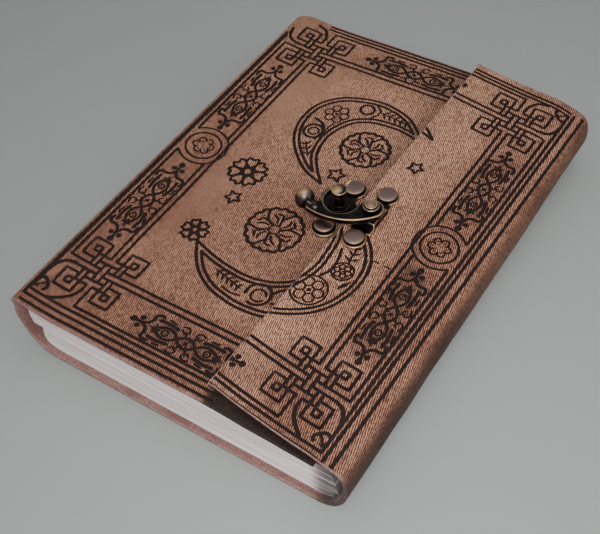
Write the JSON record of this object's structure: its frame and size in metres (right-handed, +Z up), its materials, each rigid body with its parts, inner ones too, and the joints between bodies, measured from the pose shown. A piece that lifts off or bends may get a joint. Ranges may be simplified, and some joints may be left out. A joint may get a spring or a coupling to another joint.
{
  "type": "leather diary",
  "caption": "Embossed leather diary with a wrap-round flap, held shut by an antique brass swing hook on a riveted plate",
  "frame": {"origin": "on the underside of the back cover, under the middle of the closed diary's bounding box", "axes": "+Y along the spine from tail to head, +X from the spine to the fore edge, +Z up through the front cover"},
  "size_m": [0.1308, 0.1838, 0.0339],
  "materials": {
    "leather": "embossed, waxed and antiqued",
    "paper": "uncoated handmade paper",
    "brass": "dark antique finish, worn bright on the edges"
  },
  "bodies": {
    "book": {"cover_leather": "leather", "page_block": "paper", "receiver_plate": "brass", "receiver_rivet_cap_tail": "brass", "receiver_rivet_cap_head": "brass", "receiver_rivet_foot_tail": "brass", "receiver_rivet_foot_head": "brass"},
    "wrap": {"wrap_leather": "leather"},
    "flap": {"flap_leather": "leather", "hook_plate": "brass", "hook_pivot": "brass", "hook_plate_rivet_cap_tail": "brass", "hook_plate_rivet_cap_head": "brass", "hook_plate_rivet_foot_tail": "brass", "hook_plate_rivet_foot_head": "brass"},
    "hook": {"swing_hook": "brass"}
  },
  "joints": [
    {"name": "wrap_fold", "type": "hinge", "parent": "book", "child": "wrap", "pos_m": [0.06133, 0, 0.00472], "axis": [0, 1, 0], "range_deg": [0, 75]},
    {"name": "flap_fold", "type": "hinge", "parent": "wrap", "child": "flap", "pos_m": [0.0617, 0, 0.02251], "axis": [0, 1, 0], "range_deg": [0, 95]},
    {"name": "hook_swing", "type": "hinge", "parent": "flap", "child": "hook", "pos_m": [0.02159, -0.00211, 0.02866], "axis": [0, 0, 1], "range_deg": [0, 100]}
  ],
  "couplings": [
    {"joint": "wrap_fold", "follows": "flap_fold", "ratio": 0.78947}
  ]
}
